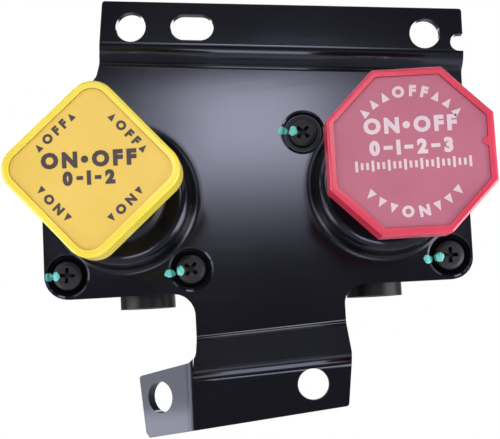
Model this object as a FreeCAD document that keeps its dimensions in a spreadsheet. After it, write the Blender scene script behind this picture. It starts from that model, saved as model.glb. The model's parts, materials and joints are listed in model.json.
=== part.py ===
import FreeCAD, Part
import math
import os
import Sketcher

# Dual push-pull air valve for a dashboard: a folded cover plate with two drawn
# bosses, a moulded valve body behind it, and two plungers with their knobs.
# X is to the right and Z up as seen from the driver's seat, and Y runs into the dash.
# The origin lies midway between the two plungers on the plate's front face.

doc = FreeCAD.newDocument("dash_control_valve")
sheet = doc.addObject("Spreadsheet::Sheet", "sheet")

DIMENSIONS = {
    "plunger_spacing": 82.0,
    "plunger_travel": 12.5,
    "sheet_thick": 3.0,
    "bend_radius": 2.0,
    "plate_half_width": 67.2,
    "plate_half_height": 30.8,
    "plate_corner": 7.4,
    "slant_line": 87.9,
    "boss_base_radius": 24.5,
    "boss_top_radius": 21.6,
    "boss_height": 12.0,
    "boss_rounding": 3.0,
    "boss_foot_rounding": 2.2,
    "boss_hole_radius": 13.6,
    "upper_slope": 4.6,
    "upper_bend_height": 40.2,
    "upper_joggle": 5.0,
    "upper_web_angle": 60.0,
    "lower_slope": 3.2,
    "lower_bend_drop": 44.1,
    "lower_joggle": 16.0,
    "lower_web_angle": 58.0,
    "mount_hole_radius": 4.75,
    "lower_hole_radius": 4.6,
    "slot_length": 13.6,
    "slot_width": 8.3,
    "notch_width": 5.5,
    "tab_fold_offset": 21.2,
    "tab_angle": 35.0,
    "tab_length": 20.3,
    "tab_bend_radius": 4.5,
    "screw_head_radius": 4.6,
    "screw_head_height": 2.4,
    "screw_cross_length": 4.9,
    "screw_cross_width": 1.2,
    "screw_cross_depth": 1.5,
    "screw_shank_radius": 2.4,
    "screw_length": 16.0,
    "well_radius": 6.0,
    "well_depth": 1.8,
    "well_flare": 1.1,
    "gasket_thick": 0.8,
    "body_half_width": 65.0,
    "body_half_height": 28.6,
    "body_flange": 6.0,
    "barrel_radius": 17.0,
    "barrel_end": 46.0,
    "turret_radius": 18.0,
    "turret_height": 8.6,
    "bore_radius": 11.0,
    "bore_floor": 42.0,
    "rib_thick": 2.6,
    "centre_half_width": 12.5,
    "centre_half_height": 20.0,
    "outlet_radius": 8.9,
    "outlet_reach": 34.6,
    "outlet_depth": 14.0,
    "outlet_bore_radius": 5.0,
    "port_boss_radius": 10.6,
    "port_boss_length": 10.0,
    "insert_radius": 8.4,
    "insert_length": 12.0,
    "supply_thread_radius": 5.7,
    "delivery_thread_radius": 5.7,
    "supply_port_height": 11.1,
    "passage_radius": 3.5,
    "shuttle_depth": 27.0,
    "shuttle_radius": 6.0,
    "shuttle_length": 9.0,
    "shuttle_travel": 2.5,
    "seat_bore_radius": 3.8,
    "guide_collar_radius": 15.0,
    "guide_collar_height": 6.0,
    "guide_spigot_radius": 13.0,
    "stem_radius": 6.0,
    "stem_thread_radius": 4.0,
    "spool_radius": 10.7,
    "spool_length": 26.0,
    "spool_web": 15.7,
    "spool_cup_radius": 7.9,
    "seal_section": 1.1,
    "spring_radius": 6.9,
    "spring_wire": 0.65,
    "spring_turns": 6.0,
    "nut_across_flats": 10.0,
    "nut_height": 4.0,
    "knob_reach": 62.0,
    "knob_thick": 10.0,
    "knob_wall": 2.2,
    "knob_floor": 3.0,
    "knob_edge": 0.9,
    "knob_hub_radius": 8.6,
    "knob_hub_length": 5.0,
    "label_recess": 1.2,
    "label_thick": 0.6,
    "octagon_across": 42.9,
    "octagon_label_across": 39.1,
    "diamond_side": 36.2,
    "diamond_corner": 6.5,
    "diamond_rim": 2.0,
    "diamond_twist": 3.3,
    "fit_gap": 0.1,
    "running_gap": 0.08,
}

for line, (alias, size) in enumerate(DIMENSIONS.items(), start=1):
    sheet.set("A%d" % line, alias)
    sheet.set("B%d" % line, str(size))
    sheet.setAlias("B%d" % line, alias)
doc.recompute()


class Size:
    """A length with both its number and the sheet expression that gives it."""

    def __init__(self, value, text):
        self.value = value
        self.text = text

    def __add__(self, other):
        return Size(self.value + number(other), "(%s + %s)" % (self.text, words(other)))

    def __radd__(self, other):
        return Size(number(other) + self.value, "(%s + %s)" % (words(other), self.text))

    def __sub__(self, other):
        return Size(self.value - number(other), "(%s - %s)" % (self.text, words(other)))

    def __rsub__(self, other):
        return Size(number(other) - self.value, "(%s - %s)" % (words(other), self.text))

    def __mul__(self, other):
        return Size(self.value * number(other), "(%s * %s)" % (self.text, words(other)))

    def __rmul__(self, other):
        return Size(number(other) * self.value, "(%s * %s)" % (words(other), self.text))

    def __truediv__(self, other):
        return Size(self.value / number(other), "(%s / %s)" % (self.text, words(other)))

    def __neg__(self):
        return Size(-self.value, "(-1 * %s)" % self.text)


def number(size):
    return size.value if isinstance(size, Size) else float(size)


def words(size):
    return size.text if isinstance(size, Size) else "(%.9f)" % size


def dim(alias):
    return Size(DIMENSIONS[alias], "sheet.%s" % alias)


def tangent(angle):
    """Tangent of an angle in degrees that the sheet holds."""
    return Size(math.tan(math.radians(angle.value)), "tan(%s * 1 deg)" % angle.text)


def sine(angle):
    return Size(math.sin(math.radians(angle.value)), "sin(%s * 1 deg)" % angle.text)


def cosine(angle):
    return Size(math.cos(math.radians(angle.value)), "cos(%s * 1 deg)" % angle.text)


def bind(item, prop, size):
    """Sets a property from the sheet when it has an expression, or as a plain number."""
    if isinstance(size, Size):
        item.setExpression(prop, size.text)
    else:
        setattr(item, prop, float(size))


def place(item, x=0.0, y=0.0, z=0.0, axis=(0, 0, 1), angle=0.0):
    """Places an object, with its coordinates bound to the sheet."""
    spin = FreeCAD.Rotation(FreeCAD.Vector(*axis), number(angle))
    item.Placement = FreeCAD.Placement(FreeCAD.Vector(number(x), number(y), number(z)), spin)
    for key, size in (("x", x), ("y", y), ("z", z)):
        if isinstance(size, Size):
            item.setExpression("Placement.Base.%s" % key, size.text)
    if isinstance(angle, Size):
        item.setExpression("Placement.Rotation.Angle", "%s * 1 deg" % angle.text)
    return item


ALONG_Y = dict(axis=(1, 0, 0), angle=-90.0)
ALONG_X = dict(axis=(0, 1, 0), angle=90.0)


def cylinder(name, radius, height, x=0.0, y=0.0, z=0.0, axis=(0, 0, 1), angle=0.0):
    item = doc.addObject("Part::Cylinder", name)
    bind(item, "Radius", radius)
    bind(item, "Height", height)
    return place(item, x, y, z, axis, angle)


def box(name, length, width, height, x=0.0, y=0.0, z=0.0, axis=(0, 0, 1), angle=0.0):
    item = doc.addObject("Part::Box", name)
    bind(item, "Length", length)
    bind(item, "Width", width)
    bind(item, "Height", height)
    return place(item, x, y, z, axis, angle)


def centred_box(name, length, width, height, x=0.0, y=0.0, z=0.0):
    """A box centred on X and Z that starts at y."""
    return box(name, length, width, height, x - length / 2.0, y, z - height / 2.0)


def fuse(name, items):
    item = doc.addObject("Part::MultiFuse", name)
    item.Shapes = items
    item.Refine = True
    return item


def cut(name, base, tools):
    tool = tools[0] if len(tools) == 1 else fuse(name + "_tools", tools)
    item = doc.addObject("Part::Cut", name)
    item.Base = base
    item.Tool = tool
    item.Refine = True
    return item


def common(name, first, second):
    item = doc.addObject("Part::Common", name)
    item.Base = first
    item.Tool = second
    item.Refine = True
    return item


def compound(name, items):
    item = doc.addObject("Part::Compound", name)
    item.Links = items
    return item


def new_body(name):
    return doc.addObject("PartDesign::Body", name)


def origin_plane(body, role):
    return [feature for feature in body.Origin.OriginFeatures if feature.Role == role][0]


def pin_point(drawing, geometry, point, x, y):
    """Fixes a sketch point at x and y, both read from the sheet where they can be."""
    for kind, size, line in (("DistanceX", x, -2), ("DistanceY", y, -1)):
        if not isinstance(size, Size) and abs(size) < 1e-9:
            drawing.addConstraint(Sketcher.Constraint("PointOnObject", geometry, point, line))
            continue
        index = drawing.addConstraint(
            Sketcher.Constraint(kind, -1, 1, geometry, point, number(size)))
        if isinstance(size, Size):
            drawing.setExpression("Constraints[%d]" % index, size.text)


def draw(body, name, role, polygons=(), circles=(), offset=0.0):
    """A sketch of closed polygons and circles on one of the body's own planes."""
    drawing = body.newObject("Sketcher::SketchObject", name)
    drawing.AttachmentSupport = (origin_plane(body, role), [""])
    drawing.MapMode = "FlatFace"
    drawing.AttachmentOffset = FreeCAD.Placement(
        FreeCAD.Vector(0, 0, number(offset)), FreeCAD.Rotation())
    if isinstance(offset, Size):
        drawing.setExpression("AttachmentOffset.Base.z", offset.text)
    for corners in polygons:
        first = drawing.GeometryCount
        spots = [FreeCAD.Vector(number(x), number(y), 0) for x, y in corners]
        for start, end in zip(spots, spots[1:] + spots[:1]):
            drawing.addGeometry(Part.LineSegment(start, end), False)
        for step, (x, y) in enumerate(corners):
            after = first + (step + 1) % len(corners)
            drawing.addConstraint(Sketcher.Constraint("Coincident", first + step, 2, after, 1))
            pin_point(drawing, first + step, 1, x, y)
    for x, y, radius in circles:
        centre = FreeCAD.Vector(number(x), number(y), 0)
        ring = drawing.addGeometry(
            Part.Circle(centre, FreeCAD.Vector(0, 0, 1), number(radius)), False)
        pin_point(drawing, ring, 3, x, y)
        index = drawing.addConstraint(Sketcher.Constraint("Radius", ring, number(radius)))
        if isinstance(radius, Size):
            drawing.setExpression("Constraints[%d]" % index, radius.text)
    return drawing


def pad(body, name, drawing, length, reverse=False):
    feature = body.newObject("PartDesign::Pad", name)
    feature.Profile = drawing
    bind(feature, "Length", length)
    feature.Reversed = reverse
    return feature


def pocket(body, name, drawing, length, reverse=False):
    """Cuts a pocket, and stops if it removed nothing."""
    doc.recompute()
    before = body.Shape.Volume
    feature = body.newObject("PartDesign::Pocket", name)
    feature.Profile = drawing
    bind(feature, "Length", length)
    feature.Reversed = reverse
    doc.recompute()
    if body.Shape.Volume > before - 0.1:
        raise RuntimeError("%s cuts nothing" % name)
    return feature


def turn(body, name, profile, x=0.0, y=0.0, z=0.0):
    """Revolves a closed profile of (radius, depth) points about the Y direction."""
    drawing = draw(body, name + "_profile", "XY_Plane", [profile])
    feature = body.newObject("PartDesign::Revolution", name)
    feature.Profile = drawing
    feature.ReferenceAxis = (drawing, ["V_Axis"])
    feature.Angle = 360.0
    place(body, x, y, z)
    return feature


def round_edges(body, name, radius, wanted):
    """Fillets the edges of the body's last feature that the test picks out."""
    doc.recompute()
    base = body.Tip
    names = ["Edge%d" % (i + 1) for i, edge in enumerate(base.Shape.Edges) if wanted(edge)]
    if not names:
        raise RuntimeError("%s found no edge" % name)
    feature = body.newObject("PartDesign::Fillet", name)
    feature.Base = (base, names)
    bind(feature, "Radius", radius)
    doc.recompute()
    return feature


def section_points(radius, section, depth):
    """Corners of a ring's six-sided section, as (radius, depth) points."""
    return [(radius + section * math.cos(math.radians(60.0 * k)),
             depth + section * math.sin(math.radians(60.0 * k))) for k in range(6)]


def o_ring(name, radius, section, x, y, z):
    """An O-ring whose axis runs along Y."""
    body = new_body(name)
    turn(body, name + "_turn", section_points(radius, section, 0.0), x, y, z)
    return body


def upright(edge, x, z):
    """True for an edge that runs along Y at x and z, in the body's own frame."""
    return all(abs(v.Point.x - number(x)) < 0.01 and abs(v.Point.z - number(z)) < 0.01
               for v in edge.Vertexes)


def lengthwise(edge, y, z):
    """True for an edge that runs along X at y and z, in the body's own frame."""
    return all(abs(v.Point.y - number(y)) < 0.01 and abs(v.Point.z - number(z)) < 0.01
               for v in edge.Vertexes)


def ring(edge, radius, y):
    """True for a circle of the radius at y, in the body's own frame."""
    return (isinstance(edge.Curve, Part.Circle) and abs(edge.Curve.Radius - number(radius)) < 0.01
            and abs(edge.Curve.Center.y - number(y)) < 0.01)


PARK = -dim("plunger_spacing") / 2.0
SUPPLY = dim("plunger_spacing") / 2.0
SIDES = (("park", PARK), ("supply", SUPPLY))
SHEET = dim("sheet_thick")

nodes = []


def node(item, label):
    item.Label = label
    nodes.append(item)
    return item


# Screw places: three round each boss, on one radius about its plunger.
SCREWS = (
    ("park_1", PARK, -7.9, 28.9, 12.0),
    ("park_2", PARK, -18.7, -23.3, 4.0),
    ("park_3", PARK, 20.2, -23.3, 40.0),
    ("supply_1", SUPPLY, 19.3, 22.6, 25.0),
    ("supply_2", SUPPLY, 19.3, -23.3, 2.0),
    ("supply_3", SUPPLY, -24.3, 18.1, 45.0),
)


def screw_spots():
    """Yields each screw's name, x, z and the turn of its cross recess."""
    for label, centre, across, up, twist in SCREWS:
        yield label, centre + across, up, twist


# Cover plate
def joggled_strip(name, start, bend, joggle, angle, reach, half_length, slope, sign):
    """A strip that steps forward by the joggle, folded from the sheet's own thickness.

    The section is drawn in Y and Z and padded along X, then turned by the slope about Y.
    """
    body = new_body(name)
    lean = tangent(angle / 2.0) * SHEET
    rise = joggle / tangent(angle)
    front = [(0.0, start), (0.0, bend), (-joggle, bend + rise), (-joggle, reach)]
    back = [(SHEET - joggle, reach), (SHEET - joggle, bend + rise + lean),
            (SHEET, bend + lean), (SHEET, start)]
    corners = [(y, sign * z) for y, z in front + back]
    drawing = draw(body, name + "_section", "YZ_Plane", [corners])
    run = pad(body, name + "_run", drawing, half_length * 2.0)
    run.Midplane = True
    inner = dim("bend_radius")
    outer = inner + SHEET
    folds = (("low_inner", inner, 1), ("low_outer", outer, 6),
             ("high_outer", outer, 2), ("high_inner", inner, 5))
    for label, radius, index in folds:
        y, z = corners[index]
        round_edges(body, "%s_%s" % (name, label), radius,
                    lambda edge, y=y, z=z: lengthwise(edge, y, z))
    return place(body, axis=(0, 1, 0), angle=slope * sign)


def plate_outline():
    """The blank's front view, clockwise from the top left corner, with its fillets."""
    half = dim("plate_half_width")
    drop = dim("plate_half_height")
    fold = dim("tab_fold_offset")
    reach = dim("tab_length") * cosine(dim("tab_angle"))
    edge = half - 0.3
    slant = dim("slant_line")
    return [
        (Size(-44.6, "(-44.6)"), Size(62.9, "(62.9)"), 1.0),
        (half + 1.4, Size(53.8, "(53.8)"), 1.0),
        (half + 1.0, Size(36.0, "(36.0)"), 0.0),
        (half + 0.1, -drop - 0.1, dim("plate_corner") - 0.5),
        (Size(26.6, "(26.6)"), -drop, 6.0),
        (Size(26.6, "(26.6)"), Size(-51.0, "(-51.0)"), 0.0),
        (Size(24.6, "(24.6)"), Size(-66.8, "(-66.8)"), 1.0),
        (-fold, Size(-71.6, "(-71.6)"), 0.0),
        (-fold - reach + 2.6, Size(-73.9, "(-73.9)"), 0.0),
        (-fold - reach + 1.5, Size(-72.3, "(-72.3)"), 0.0),
        (-fold - reach, Size(-55.5, "(-55.5)"), 0.8),
        (Size(-20.1, "(-20.1)"), Size(-51.6, "(-51.6)"), 3.2),
        (Size(-20.1, "(-20.1)"), -drop, 7.0),
        (-edge, -drop, dim("plate_corner")),
        (-edge, slant - edge, 5.0),
        (Size(-48.2, "(-48.2)"), slant - 48.2, 3.0),
        (Size(-46.3, "(-46.3)"), Size(46.5, "(46.5)"), 0.0),
    ]


def cover_plate():
    corners = plate_outline()
    blank = new_body("blank")
    drawing = draw(blank, "blank_outline", "XZ_Plane", [[(x, z) for x, z, _ in corners]])
    depth = dim("lower_joggle") + SHEET * 2.0
    pad(blank, "blank_depth", drawing, depth, reverse=True)
    for index, (x, z, radius) in enumerate(corners):
        if number(radius) > 0.0:
            round_edges(blank, "blank_round_%d" % index, radius,
                        lambda edge, x=x, z=z: upright(edge, x, z))
    place(blank, y=SHEET * 1.5 - depth)

    wide = dim("plate_half_width") + 12.0
    slab = box("slab", wide * 2.0, SHEET, 70.0, x=-wide, z=-36.0)
    upper = joggled_strip("upper_strip", Size(25.0, "(25.0)"), dim("upper_bend_height"),
                          dim("upper_joggle"), dim("upper_web_angle"), Size(75.0, "(75.0)"),
                          wide, dim("upper_slope"), 1.0)
    lower = joggled_strip("lower_strip", Size(25.0, "(25.0)"), dim("lower_bend_drop"),
                          dim("lower_joggle"), dim("lower_web_angle"), Size(82.0, "(82.0)"),
                          Size(34.0, "(34.0)"), dim("lower_slope"), -1.0)
    return blank, slab, upper, lower


def bent_tab():
    """The tab at the lower flange's left end, folded back by its angle."""
    body = new_body("tab")
    fold = dim("tab_fold_offset")
    angle = dim("tab_angle")
    reach = dim("tab_length") + 2.0
    lean = tangent(angle / 2.0) * SHEET
    front = -dim("lower_joggle")
    far_x = -fold - reach * cosine(angle)
    far_y = front + reach * sine(angle)
    corners = [(-fold + 6.0, front), (-fold, front), (far_x, far_y),
               (far_x + SHEET * sine(angle), far_y + SHEET * cosine(angle)),
               (-fold + lean, front + SHEET), (-fold + 6.0, front + SHEET)]
    drawing = draw(body, "tab_section", "XY_Plane", [corners])
    run = pad(body, "tab_run", drawing, Size(40.0, "(40.0)"))
    doc.recompute()
    for label, radius, index in (("outer", dim("tab_bend_radius") + SHEET, 1),
                                 ("inner", dim("tab_bend_radius"), 4)):
        x, y = corners[index]
        round_edges(body, "tab_%s" % label, radius,
                    lambda edge, x=x, y=y: all(
                        abs(v.Point.x - number(x)) < 0.01 and abs(v.Point.y - number(y)) < 0.01
                        for v in edge.Vertexes))
    return place(body, z=Size(-84.0, "(-84.0)"))


def boss_form(side, centre):
    """One drawn boss, turned as a shell of the sheet's thickness."""
    body = new_body(side + "_boss")
    base = dim("boss_base_radius")
    top = dim("boss_top_radius")
    rise = dim("boss_height")
    hole = dim("boss_hole_radius")
    foot = base - dim("boss_foot_rounding")
    profile = [(base + 1.0, 0.0), (foot, 0.0), (top, -rise), (hole, -rise),
               (hole, SHEET - rise), (top - SHEET, SHEET - rise), (foot - SHEET, SHEET),
               (base + 1.0, SHEET)]
    turn(body, side + "_boss_turn", profile, x=centre)
    round_edges(body, side + "_boss_shoulder", dim("boss_rounding"),
                lambda edge: ring(edge, top, -rise))
    round_edges(body, side + "_boss_foot", dim("boss_foot_rounding"),
                lambda edge: ring(edge, foot, 0.0))
    return body


blank, slab, upper_strip, lower_strip = cover_plate()
tab = bent_tab()
# The tab brings its own flat below the joggle's fold, and the strip ends beside it above.
FOLD_END = -dim("lower_bend_drop") - 13.1
flat_stop = box("flat_stop", 60.0, 60.0, 60.0, x=-dim("tab_fold_offset") + 5.5 - 60.0,
                y=-40.0, z=FOLD_END - 60.0)
fold_stop = box("fold_stop", 60.0, 60.0, 20.0, x=-dim("tab_fold_offset") + 0.5 - 60.0,
                y=-40.0, z=FOLD_END)
tab_stop = box("tab_stop", 30.0, 30.0, 40.0, x=-dim("tab_fold_offset") + 0.5, y=-40.0, z=FOLD_END)
folded = fuse("folded_sheet", [slab, upper_strip,
                               cut("lower_kept", lower_strip, [flat_stop, fold_stop]),
                               cut("tab_kept", tab, [tab_stop])])
trimmed = common("trimmed_sheet", folded, blank)
boss_gaps = [cylinder(side + "_boss_gap", dim("boss_base_radius"), 30.0, x=centre, y=-15.0,
                      **ALONG_Y) for side, centre in SIDES]
open_sheet = cut("open_sheet", trimmed, boss_gaps)
formed = fuse("formed_sheet", [open_sheet] + [boss_form(side, centre) for side, centre in SIDES])

SLOPE = math.radians(DIMENSIONS["upper_slope"])
UPPER_HOLES = {"upper_left": (-35.9, 53.9), "upper_right": (56.6, 46.5)}
SLOT_CENTRE = (-16.5, 52.7)
NOTCH_CENTRE = (67.2, 43.1)
LOWER_HOLE = (14.6, -60.0)


def sloped_slot(name, centre, length, width):
    """A round-ended slot that runs along the upper flange's slope."""
    radius = width / 2.0
    half = length / 2.0 - radius
    ends = [cylinder("%s_end_%d" % (name, sign + 1), radius, 30.0,
                     x=centre[0] + half * sign * math.cos(SLOPE), y=-20.0,
                     z=centre[1] - half * sign * math.sin(SLOPE), **ALONG_Y)
            for sign in (-1, 1)]
    run = box(name + "_run", half * 2.0, 30.0, width,
              x=centre[0] - half * math.cos(SLOPE) - radius * math.sin(SLOPE), y=-20.0,
              z=centre[1] + half * math.sin(SLOPE) - radius * math.cos(SLOPE),
              axis=(0, 1, 0), angle=dim("upper_slope"))
    return ends + [run]


def well_form(label, x, z):
    """A round well whose mouth opens in a soft flare."""
    body = new_body(label + "_well")
    floor = dim("well_depth")
    inner = dim("well_radius")
    flare = dim("well_flare")
    profile = [(0.0, floor), (inner, floor), (inner + flare * 0.12, floor * 0.5),
               (inner + flare * 0.45, floor * 0.18), (inner + flare, 0.0),
               (inner + flare, -4.0), (0.0, -4.0)]
    turn(body, label + "_well_turn", profile, x, 0.0, z)
    return body


plate_cuts = []
for label, (x, z) in UPPER_HOLES.items():
    plate_cuts.append(cylinder(label + "_hole", dim("mount_hole_radius"), 40.0, x=x, y=-30.0, z=z,
                               **ALONG_Y))
plate_cuts.append(cylinder("lower_hole", dim("lower_hole_radius"), 40.0, x=LOWER_HOLE[0], y=-30.0,
                           z=LOWER_HOLE[1], **ALONG_Y))
plate_cuts += sloped_slot("slot", SLOT_CENTRE, dim("slot_length"), dim("slot_width"))
plate_cuts += sloped_slot("notch", (NOTCH_CENTRE[0] + 5.0, NOTCH_CENTRE[1] - 0.4),
                          Size(15.6, "(15.6)"), dim("notch_width"))
TAB_HOLE = 12.3
tab_tilt = math.radians(DIMENSIONS["tab_angle"])
plate_cuts.append(cylinder(
    "tab_hole", dim("mount_hole_radius"), 16.0,
    x=-dim("tab_fold_offset") - TAB_HOLE * math.cos(tab_tilt) - 8.0 * math.sin(tab_tilt),
    y=-dim("lower_joggle") + TAB_HOLE * math.sin(tab_tilt) - 8.0 * math.cos(tab_tilt),
    z=-61.8))
for label, x, z, _ in screw_spots():
    plate_cuts.append(well_form(label, x, z))
    plate_cuts.append(cylinder(label + "_plate_hole", dim("screw_shank_radius") + 0.3, 12.0, x=x,
                               y=-4.0, z=z, **ALONG_Y))
# The tab's hole is square to the tab, so its cutter is turned onto the tab's normal.
aim = FreeCAD.Vector(math.sin(tab_tilt), math.cos(tab_tilt), 0)
tab_hole = [item for item in plate_cuts if item.Name == "tab_hole"][0]
tab_hole.Placement = FreeCAD.Placement(
    tab_hole.Placement.Base, FreeCAD.Rotation(FreeCAD.Vector(0, 0, 1), aim))
node(cut("cover_plate_cut", formed, plate_cuts), "cover_plate")


# Valve body
SHUTTLE_REACH = dim("shuttle_length") / 2.0 + dim("shuttle_travel")
FRONT = SHEET + dim("gasket_thick")


def rounded_slab(name, thick, y, circles=()):
    """The moulding's front outline, padded backwards from y, with round holes."""
    body = new_body(name)
    wide = dim("body_half_width")
    high = dim("body_half_height")
    corner = dim("plate_corner") - 1.0
    slant = dim("slant_line") - 2.2
    lobe = high + 6.4
    corners = [(-wide, slant - wide), (lobe - slant, lobe), (PARK - 1.6, lobe),
               (PARK + 5.0, high), (wide, high), (wide, -high), (-wide, -high)]
    radii = (4.0, 3.0, 3.0, 4.0, corner, corner, corner)
    pad(body, name + "_pad", draw(body, name + "_outline", "XZ_Plane", [corners]), thick, True)
    for index, ((x, z), radius) in enumerate(zip(corners, radii)):
        round_edges(body, "%s_corner_%d" % (name, index), radius,
                    lambda edge, x=x, z=z: upright(edge, x, z))
    if circles:
        holes = draw(body, name + "_holes", "XZ_Plane", circles=circles)
        pocket(body, name + "_holes_cut", holes, thick)
    return place(body, y=y)


def body_solids():
    """The moulding's outside: flange, barrels, turrets, centre block, ribs and bosses."""
    rear = FRONT + dim("body_flange")
    parts = [rounded_slab("body_flange_slab", dim("body_flange"), FRONT)]
    for side, centre in SIDES:
        parts.append(cylinder(side + "_barrel", dim("barrel_radius"), dim("barrel_end") - FRONT - 1.0,
                              x=centre, y=FRONT + 1.0, **ALONG_Y))
        parts.append(cylinder(side + "_turret", dim("turret_radius"),
                              dim("turret_height") + FRONT + 1.0, x=centre,
                              y=-dim("turret_height"), **ALONG_Y))
        parts.append(cylinder(side + "_port_boss", dim("port_boss_radius"),
                              dim("port_boss_length") + 2.0, x=centre,
                              y=dim("barrel_end") - 2.0, **ALONG_Y))
        for rib in (-1, 1):
            parts.append(box("%s_rib_%d" % (side, rib + 1), dim("rib_thick"), 26.0,
                             dim("body_half_height") * 2.0 - 6.0,
                             x=centre + rib * 9.0 - dim("rib_thick") / 2.0, y=rear - 1.0,
                             z=3.0 - dim("body_half_height")))
    parts.append(centred_box("centre_block", dim("centre_half_width") * 2.0,
                             dim("barrel_end") - 2.0 - FRONT, dim("centre_half_height") * 2.0,
                             y=FRONT + 1.0))
    for level in (-1, 0, 1):
        parts.append(box("cross_rib_%d" % (level + 1), dim("plunger_spacing"), 30.0,
                         dim("rib_thick"), x=PARK, y=rear - 1.0,
                         z=dim("rib_thick") * -0.5 + level * 11.0))
    for label, height in (("primary", dim("supply_port_height")),
                          ("secondary", -dim("supply_port_height"))):
        parts.append(cylinder(label + "_port_boss", dim("port_boss_radius"),
                              dim("port_boss_length") + 2.0, y=dim("barrel_end") - 2.0, z=height,
                              **ALONG_Y))
    for label, x, z, _ in screw_spots():
        parts.append(cylinder(label + "_screw_boss", dim("screw_shank_radius") + 2.6,
                              dim("screw_length") - 4.0, x=x, y=FRONT + 1.0, z=z, **ALONG_Y))
    for label, x in (("park_outlet", PARK + 4.8), ("supply_outlet", SUPPLY - 3.6)):
        parts.append(cylinder(label, dim("outlet_radius"), dim("outlet_reach") - 6.0, x=x,
                              y=dim("outlet_depth"), z=-dim("outlet_reach")))
    return parts


def body_hollows():
    """The bores, ports, passages and screw holes that are cut from the moulding."""
    cuts = []
    floor = dim("bore_floor")
    pocket_start = dim("barrel_end") + dim("port_boss_length") - dim("insert_length")
    for side, centre in SIDES:
        cuts.append(cylinder(side + "_bore", dim("bore_radius"), floor, x=centre, **ALONG_Y))
        cuts.append(cylinder(side + "_counterbore", dim("guide_spigot_radius") + 0.2,
                             dim("turret_height") + 2.0, x=centre,
                             y=-dim("turret_height") - 2.0, **ALONG_Y))
        cuts.append(cylinder(side + "_port_pocket", dim("insert_radius"), 20.0, x=centre,
                             y=pocket_start, **ALONG_Y))
        cuts.append(cylinder(side + "_delivery_passage", dim("passage_radius"), 12.0, x=centre,
                             y=floor - 2.0, **ALONG_Y))
    for label, height in (("primary", dim("supply_port_height")),
                          ("secondary", -dim("supply_port_height"))):
        cuts.append(cylinder(label + "_port_pocket", dim("insert_radius"), 20.0,
                             y=pocket_start, z=height, **ALONG_Y))
        cuts.append(cylinder(label + "_passage", dim("passage_radius"), 24.0,
                             y=dim("shuttle_depth"), z=height, **ALONG_Y))
    cuts.append(cylinder("shuttle_bore", dim("shuttle_radius") + 0.1, 60.0,
                         y=dim("shuttle_depth"), z=-SHUTTLE_REACH))
    cuts.append(cylinder("seat_bore", dim("seat_bore_radius"), 30.0,
                         y=dim("shuttle_depth"), z=4.0 - dim("centre_half_height")))
    cuts.append(cylinder("cross_passage", dim("passage_radius"), dim("plunger_spacing"),
                         x=PARK, y=dim("shuttle_depth"), **ALONG_X))
    cuts.append(cylinder("retainer_screw_hole", 1.6, 12.0, y=dim("shuttle_depth") + 10.5,
                         z=dim("centre_half_height") - 10.0))
    for label, x, z, _ in screw_spots():
        cuts.append(cylinder(label + "_body_hole", dim("screw_shank_radius") + 0.1,
                             dim("screw_length") + 2.0, x=x, y=-2.0, z=z, **ALONG_Y))
    for label, x in (("park_exhaust", PARK + 4.8), ("supply_exhaust", SUPPLY - 3.6)):
        cuts.append(cylinder(label, dim("outlet_bore_radius"), dim("outlet_reach") - 8.0, x=x,
                             y=dim("outlet_depth"), z=-dim("outlet_reach") - 1.0))
    return cuts


node(cut("valve_body_cut", fuse("valve_body_solid", body_solids()), body_hollows()), "valve_body")

gasket_holes = [(centre, 0.0, dim("turret_radius") + 0.4) for _, centre in SIDES]
gasket_holes += [(x, z, dim("screw_shank_radius") + 0.3) for _, x, z, _ in screw_spots()]
node(rounded_slab("gasket", dim("gasket_thick"), SHEET, gasket_holes), "cover_gasket")


# Fasteners
def cover_screw(label, x, z, twist):
    """A pan-head screw with a cross recess, seated on its well's floor."""
    head = dim("screw_head_radius")
    rise = dim("screw_head_height")
    shank = dim("screw_shank_radius")
    body = new_body("screw_" + label)
    profile = [(0.0, -rise), (head * 0.72, -rise + 0.1), (head * 0.93, -rise + 0.55),
               (head, -rise + 1.3), (head, 0.0), (shank, 0.0), (shank, dim("screw_length") - 3.2),
               (shank - 0.9, dim("screw_length") - 2.0), (0.0, dim("screw_length") - 2.0)]
    turn(body, "screw_%s_turn" % label, profile, x, dim("well_depth"), z)
    long_arm = dim("screw_cross_length")
    arm = dim("screw_cross_width")
    deep = dim("screw_cross_depth")
    cross = fuse("screw_%s_cross" % label, [
        centred_box("screw_%s_across" % label, long_arm, deep + 1.0, arm, y=-1.0),
        centred_box("screw_%s_down" % label, arm, deep + 1.0, long_arm, y=-1.0)])
    place(cross, x, dim("well_depth") - rise, z, axis=(0, 1, 0), angle=twist)
    return cut("screw_%s_cut" % label, body, [cross])


node(compound("cover_screw_set", [cover_screw(*spot) for spot in screw_spots()]), "cover_screws")


# Guides, wipers and their seals
def guide(side, centre):
    """A flanged guide that sits on the boss and fills the turret's counterbore."""
    body = new_body(side + "_guide_body")
    collar = dim("guide_collar_radius")
    spigot = dim("guide_spigot_radius")
    bore = dim("stem_radius") + dim("running_gap")
    top = -dim("boss_height") - dim("guide_collar_height")
    profile = [
        (bore, 0.0), (bore, top + 2.4), (bore + 2.2, top + 2.4), (bore + 2.2, top),
        (collar - 1.2, top), (collar, top + 1.2), (collar, -dim("boss_height")),
        (spigot, -dim("boss_height")), (spigot, -5.2), (spigot - 1.6, -5.2),
        (spigot - 1.6, -3.0), (spigot, -3.0), (spigot, 0.0)]
    turn(body, side + "_guide_turn", profile, x=centre)
    return body


def wiper(side, centre):
    """A lip ring in the guide's mouth that wipes the stem."""
    body = new_body(side + "_wiper_body")
    bore = dim("stem_radius") + dim("running_gap")
    top = -dim("boss_height") - dim("guide_collar_height")
    profile = [(bore, top + 0.1), (bore + 0.6, top + 0.1), (bore + 1.0, top + 0.9),
               (bore + 2.1, top + 0.9), (bore + 2.1, top + 2.4), (bore + 0.4, top + 2.4),
               (bore + 0.4, top + 1.2)]
    turn(body, side + "_wiper_turn", profile, x=centre)
    return body


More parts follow.
